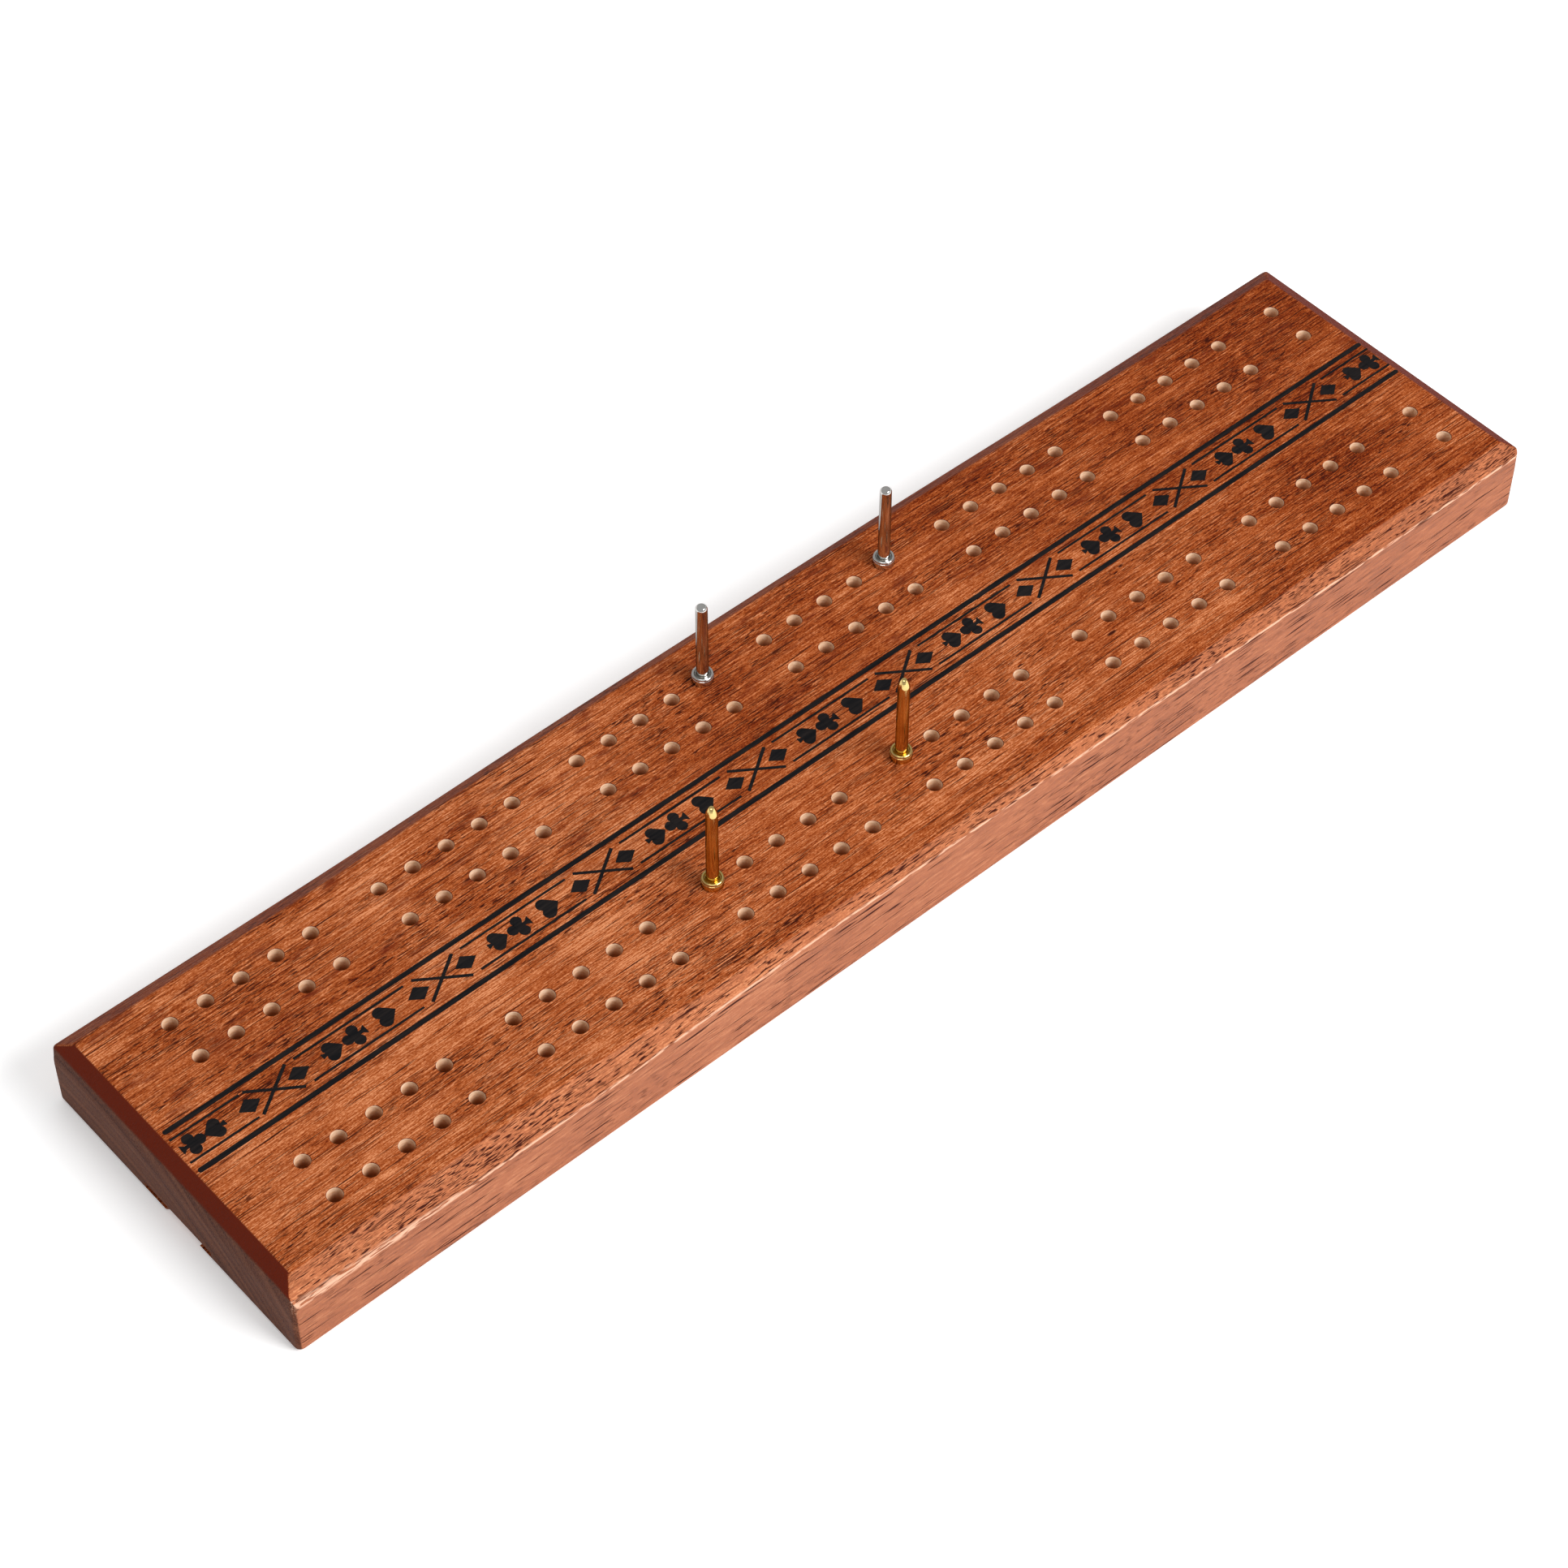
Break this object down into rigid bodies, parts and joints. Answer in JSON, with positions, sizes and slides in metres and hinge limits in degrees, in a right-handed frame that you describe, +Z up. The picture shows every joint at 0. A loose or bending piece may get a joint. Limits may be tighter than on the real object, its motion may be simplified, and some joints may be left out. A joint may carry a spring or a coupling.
{
  "type": "cribbage board",
  "caption": "Chamfered hardwood cribbage board with grouped peg holes, a stamped band of card suits, metal pegs in their holes, and a lidded peg store underneath.",
  "frame": {"origin": "middle of the underside, on the table", "axes": "+X along the board towards the start holes, +Y across it, +Z up out of the playing face"},
  "size_m": [0.305, 0.071, 0.0392],
  "materials": {
    "stained_hardwood": "reddish brown stain under satin lacquer",
    "lid_steel": "brushed lengthwise",
    "stamping_ink": "matt black ink stamped on the wood",
    "nickel_plate": "polished",
    "polished_brass": "polished"
  },
  "bodies": {
    "board": {"board": "stained_hardwood", "stamped_rules": "stamping_ink", "stamped_crosses": "stamping_ink", "stamped_diamonds": "stamping_ink", "stamped_spades": "stamping_ink", "stamped_clubs": "stamping_ink", "stamped_hearts": "stamping_ink"},
    "lid": {"store_lid": "lid_steel"},
    "silver_peg_1": {"silver_peg_1": "nickel_plate"},
    "silver_peg_2": {"silver_peg_2": "nickel_plate"},
    "brass_peg_1": {"brass_peg_1": "polished_brass"},
    "brass_peg_2": {"brass_peg_2": "polished_brass"}
  },
  "joints": [
    {"name": "lid_slide", "type": "slide", "parent": "board", "child": "lid", "axis": [-1, 0, 0], "range_m": [0, 0.13]},
    {"name": "silver_peg_1_lift", "type": "slide", "parent": "board", "child": "silver_peg_1", "axis": [0, 0, 1], "range_m": [0, 0.03]},
    {"name": "silver_peg_2_lift", "type": "slide", "parent": "board", "child": "silver_peg_2", "axis": [0, 0, 1], "range_m": [0, 0.03]},
    {"name": "brass_peg_1_lift", "type": "slide", "parent": "board", "child": "brass_peg_1", "axis": [0, 0, 1], "range_m": [0, 0.03]},
    {"name": "brass_peg_2_lift", "type": "slide", "parent": "board", "child": "brass_peg_2", "axis": [0, 0, 1], "range_m": [0, 0.03]}
  ]
}
